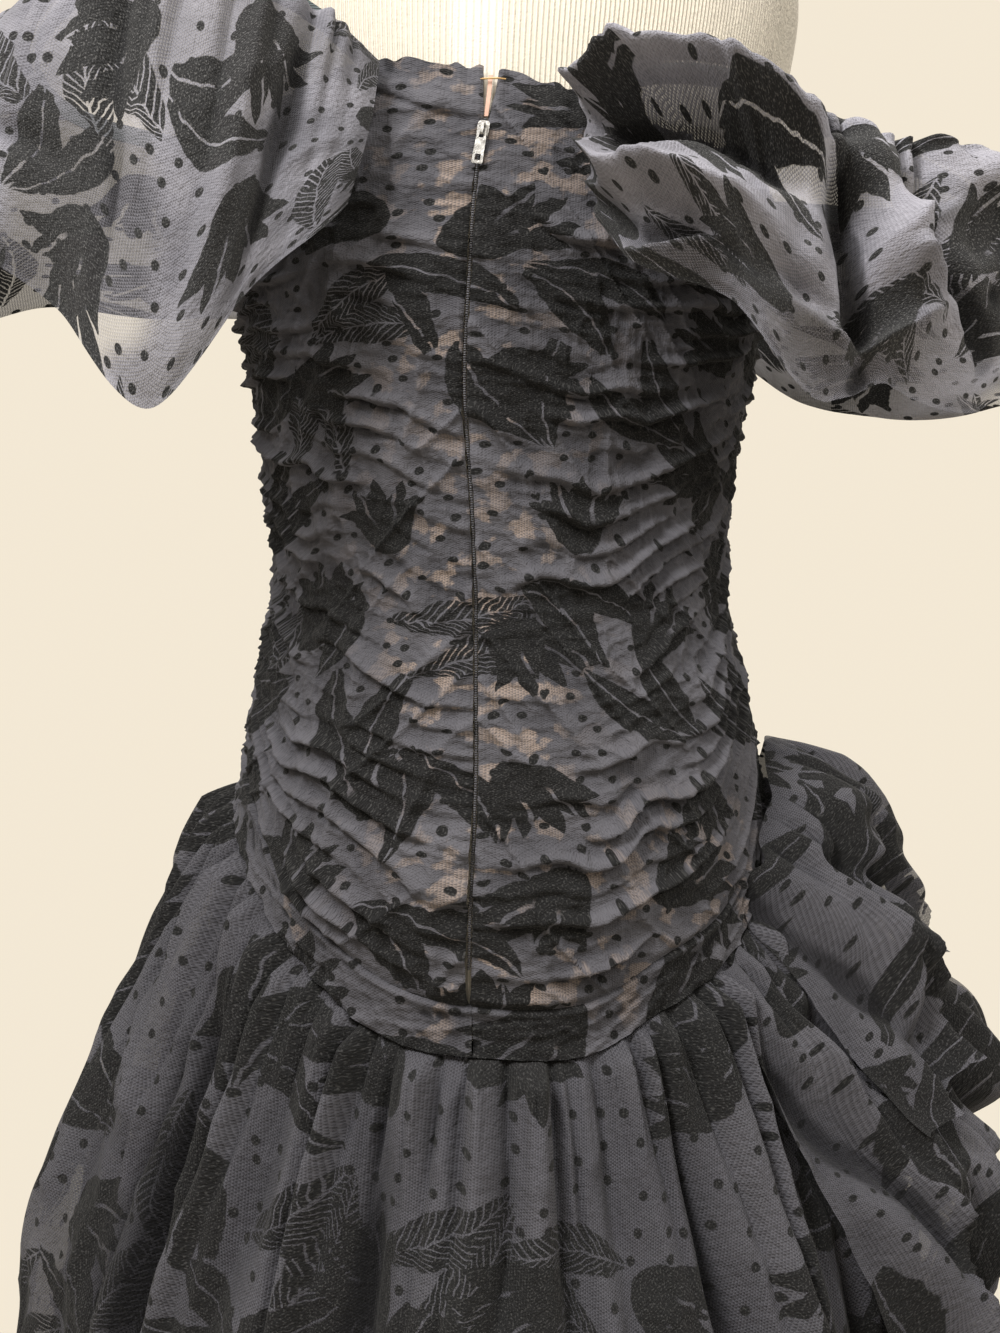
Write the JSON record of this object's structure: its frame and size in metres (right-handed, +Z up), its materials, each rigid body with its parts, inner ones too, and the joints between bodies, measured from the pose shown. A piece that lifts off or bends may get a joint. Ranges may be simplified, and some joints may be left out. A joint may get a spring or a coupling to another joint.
{
  "type": "ball gown on dress form",
  "caption": "Off-the-shoulder ball gown with a ruched bodice, puffed flounce sleeves, a back zip, a gathered skirt and a hip drape, on a limbless dress form with a stand.",
  "frame": {"origin": "centre of the underside of the stand's base, on the floor", "axes": "+Z up, +X to the right of someone who looks at the gown's back, +Y towards the gown's front"},
  "size_m": [0.9077, 0.7236, 1.6126],
  "materials": {
    "flocked_net": "fine slate-grey net with black velvety flock",
    "form_cover": "cream ribbed jersey",
    "stand_metal": "satin black",
    "elastic_tape": "dull grey-green woven elastic",
    "zip_tape": "matt black nylon",
    "placket_lining": "pinkish brown satin",
    "bright_metal": "worn nickel",
    "gilt_wire": "dull gilt wire"
  },
  "bodies": {
    "gown": {"bodice_back_left": "flocked_net", "bodice_back_right": "flocked_net", "bodice_front": "flocked_net", "yoke_back_left": "flocked_net", "yoke_back_right": "flocked_net", "yoke_front": "flocked_net", "skirt_back": "flocked_net", "skirt_front": "flocked_net", "hip_drape_long": "flocked_net", "hip_drape_short": "flocked_net", "sleeve_left": "flocked_net", "sleeve_right": "flocked_net", "dress_form": "form_cover", "neck_cap": "stand_metal", "stand_pole": "stand_metal", "stand_base": "stand_metal", "sleeve_band_left": "elastic_tape", "sleeve_band_right": "elastic_tape", "zip_chain": "zip_tape", "placket": "placket_lining", "zip_slider": "bright_metal", "hook_and_eye": "gilt_wire"},
    "zip_pull": {"zip_tab": "bright_metal"}
  },
  "joints": [
    {"name": "zip_tab_swing", "type": "hinge", "parent": "gown", "child": "zip_pull", "pos_m": [0.00623, -0.11453, 1.318], "axis": [-0.9884, 0, 0.1518], "range_deg": [0, 170]}
  ]
}
